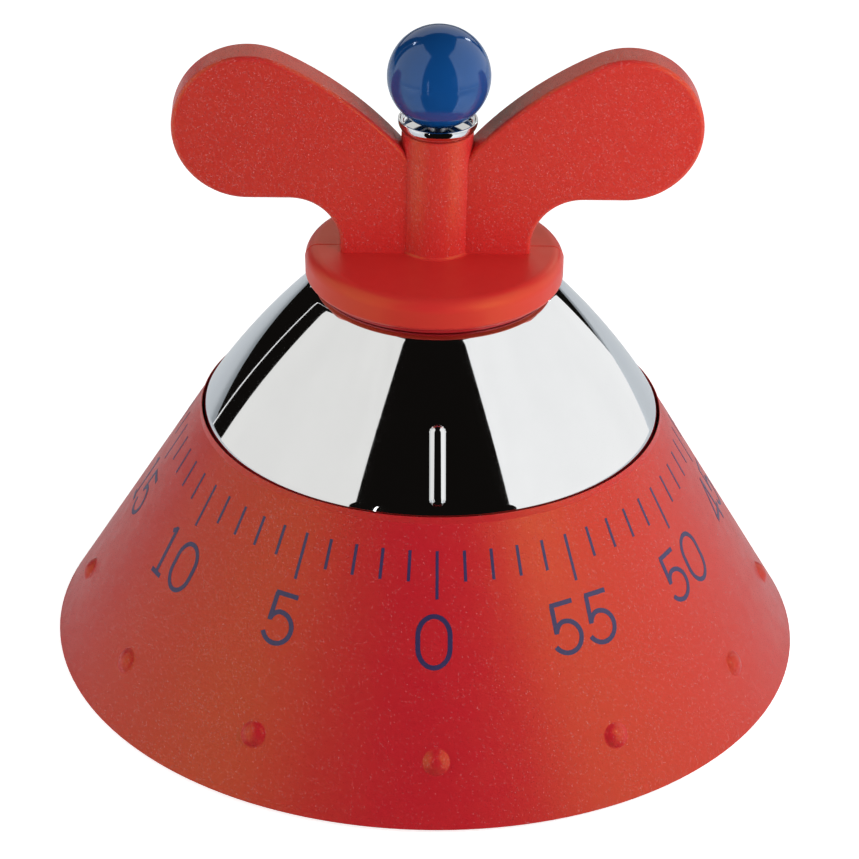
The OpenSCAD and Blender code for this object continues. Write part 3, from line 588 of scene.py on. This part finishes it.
def wing(side):
    """One wing plate with rounded edges; side is 1 or -1."""
    half, edge_r, flat = 2.8, 0.7, 0.05
    outline = wing_outline()
    work = bmesh.new()
    corners = [work.verts.new((side * x * MM, -half * MM, z * MM)) for x, z in outline]
    face = work.faces.new(corners)
    grown = bmesh.ops.extrude_face_region(work, geom=[face])
    moved = [v for v in grown["geom"] if isinstance(v, bmesh.types.BMVert)]
    bmesh.ops.translate(work, verts=moved, vec=(0, 2 * half * MM, 0))
    rims = [e for e in work.edges if abs(e.verts[0].co.y - e.verts[1].co.y) < flat * MM]
    bmesh.ops.bevel(work, geom=rims, offset=edge_r * MM, segments=6, profile=0.5, affect="EDGES")
    bmesh.ops.recalc_face_normals(work, faces=work.faces)
    mesh = bpy.data.meshes.new("wing")
    work.to_mesh(mesh)
    work.free()
    piece = bpy.data.objects.new("wing", mesh)
    bpy.context.scene.collection.objects.link(piece)
    return piece


def knob_body():
    """The turned core with both wings joined on, as one moulding."""
    body = knob_core()
    settle(body)
    body.modifiers.clear()
    for side in (1, -1):
        combine(body, wing(side))
    return settle(body, 32)


def ball_body():
    """Ball with a faint mould line round it and the stud's hole underneath."""
    line_z, line_w, line_h = 0.6, 0.09, 0.012
    rows = []
    hole_turn = math.degrees(math.acos(STUD_R / BALL_R))
    for turn in spread(-hole_turn, 90, 2.2):
        a = math.radians(turn)
        rows.append((BALL_R * math.cos(a), BALL_Z + BALL_R * math.sin(a)))
    rows[-1] = (0, BALL_Z + BALL_R)
    for step in (-1, -0.4, 0, 0.4, 1):
        a = math.asin((line_z + step * line_w) / BALL_R)
        out = line_h * (1 - step * step)
        rows.append(((BALL_R + out) * math.cos(a), BALL_Z + line_z + step * line_w))
    rows.sort(key=lambda row: row[1])
    rows = [(0, stud_high.z), (STUD_R, stud_high.z)] + rows
    return settle(lathe("ball_body", rows, closed=False))


def ball_cup():
    """Thin flared cup under the ball, with a rolled rim."""
    bend_r, wall, floor_z = 1.6, 0.35, 80.95
    bend_x = cup_high.x - bend_r
    bend_z = cup_high.z - wall
    outer_end = -math.degrees(math.asin((bend_z - POST_TOP_Z) / bend_r))
    inner_end = -math.degrees(math.asin((bend_z - floor_z) / (bend_r - wall)))
    rows = [(STUD_R, POST_TOP_Z)] + arc(bend_x, bend_z, bend_r, outer_end, 0, 14)
    rows += arc(cup_high.x - wall / 2, cup_high.z - wall / 2, wall / 2, 0, 180, 8)
    rows += arc(bend_x, bend_z, bend_r - wall, 0, inner_end, 10)
    rows += [(STUD_R, floor_z)]
    return settle(lathe("ball_cup", rows))


# ---- Printed scale ----

INK_H = 0.02
INK_LAYER_H = 0.003
INK_SUNK = -0.05
STROKE_W = 0.68
STROKE_STEP = 0.6
DIGIT_GAP = 1.0
TICK_W = 0.43
TICK_TOP = 38.09
TICK_FOOT = {True: 31.48, False: 33.83}
DIGIT_FOOT = 21.8
DIGIT_SHIFT = -0.38
DIGIT_H = 7.7


def oval(cx, cy, rx, ry, start, end, steps=20):
    """Points along part of an ellipse."""
    return [(cx + (x - cx) * rx, cy + (y - cy) * ry) for x, y in arc(cx, cy, 1.0, start, end, steps)]


def line(x0, y0, x1, y1):
    """Points along a straight stroke, close enough together to follow the cone."""
    count = max(1, round(math.hypot(x1 - x0, y1 - y0) / STROKE_STEP))
    return [(x0 + (x1 - x0) * i / count, y0 + (y1 - y0) * i / count) for i in range(count + 1)]


def numeral_strokes():
    """Each numeral as (width, strokes); a stroke is the middle line of one even ribbon."""
    low, high = STROKE_W / 2, DIGIT_H - STROKE_W / 2
    nought_w, end_ry = 5.1, 2.7
    side_x, half = nought_w - low, nought_w / 2
    nought = oval(half, high - end_ry, half - low, end_ry, 0, 180, 24)
    nought += line(low, high - end_ry, low, low + end_ry)[1:]
    nought += oval(half, low + end_ry, half - low, end_ry, 180, 360, 24)[1:]
    nought += line(side_x, low + end_ry, side_x, high - end_ry)[1:]
    five = oval(1.95, 2.54, 1.55, 2.2, 157, 90, 8) + oval(1.95, 2.54, 2.2, 2.2, 90, -155, 36)[1:]
    two = oval(2.25, 5.3, 1.95, high - 5.3, 165, -38, 26) + line(3.7, 3.9, 0.6, low + 0.2)[1:]
    three_top = oval(2.15, 5.6, 1.75, high - 5.6, 150, -90, 24)
    three_foot = oval(2.1, 2.1, 2.15, 1.78, 90, -150, 26)
    one_stem, one_flag = line(1.65, 0, 1.65, DIGIT_H), line(0.75, 6.75, 1.65, high + 0.05)
    four_stem, four_slope = line(3.6, 0, 3.6, DIGIT_H), line(3.45, high - 0.1, 0.35, 2.15)
    five_top, five_stem = high - 0.1, 0.72
    return {
        "0": (nought_w, [nought]),
        "1": (3.3, [one_stem, one_flag, line(0.3, low, 3.0, low)]),
        "2": (4.7, [two, line(0.3, low, 4.5, low)]),
        "3": (4.6, [three_top, three_foot]),
        "4": (5.0, [four_stem, four_slope, line(0.1, 2.0, 4.9, 2.0)]),
        "5": (4.6, [line(0.48, five_top, 3.95, five_top), line(five_stem, five_top, 0.5, 3.3), five]),
    }


def ribbon_sides(points, width):
    """The two edges of an even ribbon along points; a path that ends where it starts is a loop."""
    loop = math.dist(points[0], points[-1]) < 1e-6
    path = points[:-1] if loop else points
    left, right = [], []
    for i, (x, y) in enumerate(path):
        before = path[i - 1] if i or loop else path[i]
        after = path[(i + 1) % len(path)] if i + 1 < len(path) or loop else path[i]
        dx, dy = after[0] - before[0], after[1] - before[1]
        size = math.hypot(dx, dy)
        nx, ny = -dy / size * width / 2, dx / size * width / 2
        left.append((x + nx, y + ny))
        right.append((x - nx, y - ny))
    return left, right, loop


def on_cone(u, v, proud, angle):
    """Point on the unrolled cone: u across and v up the slope from the rim, at a scale angle."""
    apex = RIM_R / math.cos(CONE_ANGLE)
    reach = math.hypot(u, apex - v)
    turn = math.radians(angle) + math.atan2(u, apex - v) / math.cos(CONE_ANGLE)
    r, z = slant_point(apex - reach)
    r += proud * math.sin(CONE_ANGLE)
    z += proud * math.cos(CONE_ANGLE)
    return (r * math.cos(turn), r * math.sin(turn), z)


def add_ribbon(vertices, faces, points, width, proud, angle):
    """One closed, thin solid ribbon that follows the cone."""
    left, right, loop = ribbon_sides(points, width)
    first, count = len(vertices), len(left)
    for a, b in zip(left, right):
        vertices += [on_cone(*a, INK_SUNK, angle), on_cone(*a, proud, angle),
                     on_cone(*b, proud, angle), on_cone(*b, INK_SUNK, angle)]
    for i in range(count if loop else count - 1):
        here, there = first + 4 * i, first + 4 * ((i + 1) % count)
        for k in range(4):
            n = (k + 1) % 4
            faces.append([here + k, here + n, there + n, there + k])
    if not loop:
        last = first + 4 * (count - 1)
        faces.append([first + 3, first + 2, first + 1, first])
        faces.append([last, last + 1, last + 2, last + 3])


def printed_scale():
    """Sixty ticks and twelve numerals, which rise clockwise. Each stroke of a numeral stands a little
    higher than the one before, so that crossing strokes don't share a top."""
    vertices, faces = [], []
    numerals = numeral_strokes()
    for minute in range(60):
        angle = FRONT - 6 * minute
        major = minute % 5 == 0
        add_ribbon(vertices, faces, line(0, TICK_FOOT[major], 0, TICK_TOP), TICK_W, INK_H, angle)
        if not major:
            continue
        digits = [numerals[d] for d in str(minute)]
        left = DIGIT_SHIFT - (sum(width for width, _ in digits) + DIGIT_GAP * (len(digits) - 1)) / 2
        for width, strokes in digits:
            for k, stroke in enumerate(strokes):
                moved = [(left + x, DIGIT_FOOT + y) for x, y in stroke]
                add_ribbon(vertices, faces, moved, STROKE_W, INK_H + INK_LAYER_H * k, angle)
            left += width + DIGIT_GAP
    piece = make_object("printed_scale", vertices, faces)
    return settle(piece, 30)


# ---- Build the pieces ----

place(cone_shell(), red.material, "case", ["cone_housing"])
place(printed_scale(), ink.material, "case")
place(dome_shell(), chrome.material, "winder", ["dome"])
place(collar(), red_smooth.material, "winder", ["collar_ring"])
# The knob takes the lighter red copy with painted light.
place(knob_body(), red_knob_painted_light.material, "winder", ["knob"])
place(ball_body(), blue.material, "winder", ["ball"])
place(ball_cup(), chrome.material, "winder", ["ball_ring"])

slots = {part["node"]: part["material_slot"] for part in frame["record"]["subparts"]}
for name, piece in frame["nodes"].items():
    piece.data.materials.clear()
    piece.data.materials.append(CAD_FINISHES[slots[name]].material)


# ---- Studio ----

# Places here are in metres. Ray visibility keeps each light box and floor out of the views where it
# would show: the camera sees only the white floor and backdrop.

CENTRE = Vector((0, 0, 0.045))
PANEL_X = 0.62
PANEL_FRONT = -1.235
PANEL_FOOT = -0.5
PANEL_FRONT_TOP = 3.1
PANEL_MIDDLE_TOP = 2.14
BACK_PANEL_X = 0.55
BACK_PANEL_Y = 0.9
BACK_PANEL_FOOT = 0.15
BACK_PANEL_TOP = 1.1
FLOOR_R = 3.0
FLOOR_GAP = 0.00005
FLOOR_HOLE_R = 0.056
BACKDROP_R = 3.2


def area_light(name, place_at, size, radiance, glossy=True):
    """Rectangular light of a given brightness, aimed at the timer."""
    lamp = bpy.data.lights.new(name, "AREA")
    lamp.shape = "RECTANGLE"
    lamp.size, lamp.size_y = size
    lamp.energy = radiance * math.pi * size[0] * size[1]
    light = bpy.data.objects.new(name, lamp)
    light.location = place_at
    light.rotation_euler = (Vector(place_at) - CENTRE).to_track_quat("Z", "Y").to_euler()
    light.visible_camera = False
    light.visible_glossy = glossy
    bpy.context.scene.collection.objects.link(light)


def glowing(name, colour, strength):
    """Lit cloth of a light box, with a faint unevenness."""
    patch_mm, change = 400.0, 0.02
    finish = Finish(name, (0.0, 0.0, 0.0), 1.0)
    finish.shader.inputs["Specular IOR Level"].default_value = 0.0
    finish.shader.inputs["Emission Color"].default_value = (*colour, 1)
    patches = finish.noise(patch_mm, 1.0)
    uneven = finish.ranged(patches, 0.3, 0.7, strength * (1 - change), strength * (1 + change))
    finish.tree.links.new(uneven, finish.shader.inputs["Emission Strength"])
    return finish.material


def rays(piece, camera, diffuse, glossy):
    """Which rays see a stage piece."""
    piece.visible_camera = camera
    piece.visible_diffuse = diffuse
    piece.visible_glossy = glossy
    piece.visible_shadow = diffuse
    piece.visible_transmission = glossy


def side_panel(name, side, outline, colour, strength):
    """Upright light box beside the timer; outline is (y, z) in panel distances from the axis."""
    x = side * PANEL_X / MM
    corners = [(x, y * PANEL_X / MM, z * PANEL_X / MM) for y, z in outline]
    piece = make_object(name, corners, [list(range(len(corners)))])
    piece.data.materials.append(glowing(name, colour, strength))
    rays(piece, False, True, True)


def panel_outline(back, back_top):
    """Outline of a side light box, which reaches back to a given distance and height there."""
    return [
        (PANEL_FRONT, PANEL_FOOT), (PANEL_FRONT, PANEL_FRONT_TOP), (0, PANEL_MIDDLE_TOP),
        (back, back_top), (back, PANEL_FOOT),
    ]


side_panel("panel_right", 1, panel_outline(1.28, 1.9), (1, 1, 0.995), 1.0)
side_panel("panel_left", -1, panel_outline(0.58, 2.0), (1, 0.99, 0.965), 0.87)
side_panel("panel_left_gap", -1, [(0.86, 0), (0.86, 1.9), (0.885, 1.9), (0.885, 0)], (1, 1, 1), 1.0)
back_outline = [
    (-BACK_PANEL_X, BACK_PANEL_FOOT), (BACK_PANEL_X, BACK_PANEL_FOOT),
    (BACK_PANEL_X, BACK_PANEL_TOP), (-BACK_PANEL_X, BACK_PANEL_TOP),
]
back_corners = [(x / MM, BACK_PANEL_Y / MM, z / MM) for x, z in back_outline]
back_panel = make_object("panel_back", back_corners, [[0, 1, 2, 3]])
back_panel.data.materials.append(glowing("panel_back", (1, 0.98, 0.95), 0.7))
rays(back_panel, False, False, True)
area_light("front_strip", (-0.085, -0.181, 0.066), (0.0035, 0.11), 3.0)
area_light("rear_spot_left", (-0.45, 0.37, 0.57), (0.07, 0.05), 8.0)
area_light("rear_spot_right", (0.44, 0.62, 0.42), (0.05, 0.12), 8.0)
area_light("fill_left", (-0.269, -0.126, 0.087), (0.15, 0.15), 1.55, glossy=False)
area_light("fill_right", (0.153, -0.128, 0.038), (0.12, 0.12), 1.0, glossy=False)
area_light("fill_near", (0.095, -0.11, 0.115), (0.06, 0.06), 8.0, glossy=False)


def emitting(name, colour, strength, albedo):
    """Pale floor or backdrop that glows a little, as an overexposed studio sweep does."""
    finish = Finish(name, albedo, 0.9)
    finish.shader.inputs["Specular IOR Level"].default_value = 0.0
    finish.shader.inputs["Emission Color"].default_value = (*colour, 1)
    finish.shader.inputs["Emission Strength"].default_value = strength
    return finish.material


def stage_disc(name, radius, z, material):
    """Flat round floor."""
    ring = [(x / MM, y / MM, z / MM) for x, y in arc(0, 0, radius, 0, 360, 64)[:-1]]
    piece = make_object(name, ring, [list(range(len(ring)))])
    piece.data.materials.append(material)
    return piece


def floor_sector(name, start, end, radius, z, material):
    """Floor outside a round hole, between two angles; the open part in front stays dark."""
    count = 47
    inner = [(x / MM, y / MM, z / MM) for x, y in arc(0, 0, FLOOR_HOLE_R, start, end, count - 1)]
    outer = [(x / MM, y / MM, z / MM) for x, y in arc(0, 0, radius, start, end, count - 1)]
    faces = [[i, i + 1, count + i + 1, count + i] for i in range(count - 1)]
    piece = make_object(name, inner + outer, faces)
    piece.data.materials.append(material)
    return piece


floor_white = emitting("floor_white", (1, 1, 1), 0.82, (0.8, 0.8, 0.8))
floor_pale = emitting("floor_pale", (0.85, 0.93, 1), 0.10, (0.80, 0.84, 0.88))
floor_reflected = emitting("floor_reflected", (0.85, 0.93, 1), 0.28, (0.80, 0.84, 0.88))
rays(stage_disc("floor_seen", FLOOR_R, -FLOOR_GAP, floor_white), True, False, False)
rays(stage_disc("floor_bounce", FLOOR_R, -4 * FLOOR_GAP, floor_pale), False, True, False)
mirrored = floor_sector("floor_mirrored", -48, 228, FLOOR_R, -2 * FLOOR_GAP, floor_reflected)
rays(mirrored, False, False, True)
backdrop = lathe("backdrop", arc(0, 0, BACKDROP_R / MM, -90, 90, 24), closed=False)
backdrop.data.materials.append(emitting("backdrop_white", (1, 1, 1), 1.1, (0.8, 0.8, 0.8)))
rays(backdrop, True, False, False)

world = bpy.data.worlds.new("studio")
bpy.context.scene.world = world
world.use_nodes = True
world.node_tree.nodes["Background"].inputs["Color"].default_value = (1.0, 0.85, 0.75, 1)
world.node_tree.nodes["Background"].inputs["Strength"].default_value = 0.005
bpy.context.scene.view_settings.view_transform = "Standard"


# ---- Camera ----

CAMERA_AZIMUTH = math.radians(-2.227)
CAMERA_ELEVATION = math.radians(28.925)
CAMERA_ROLL = math.radians(1.441)
CAMERA_DISTANCE = 0.4714
CAMERA_TARGET = Vector((-0.0001, 0, 0.03266))
CAMERA_LENS = 135

lens = bpy.data.cameras.new("camera")
lens.lens = CAMERA_LENS
lens.sensor_width = 36
lens.clip_start = 0.01
camera = bpy.data.objects.new("camera", lens)
back = Vector((
    math.sin(CAMERA_AZIMUTH) * math.cos(CAMERA_ELEVATION),
    -math.cos(CAMERA_AZIMUTH) * math.cos(CAMERA_ELEVATION),
    math.sin(CAMERA_ELEVATION),
))
camera.location = CAMERA_TARGET + back * CAMERA_DISTANCE
turned = (-back).to_track_quat("-Z", "Y").to_matrix() @ Matrix.Rotation(CAMERA_ROLL, 3, "Z")
camera.rotation_euler = turned.to_euler()
bpy.context.scene.collection.objects.link(camera)
bpy.context.scene.camera = camera
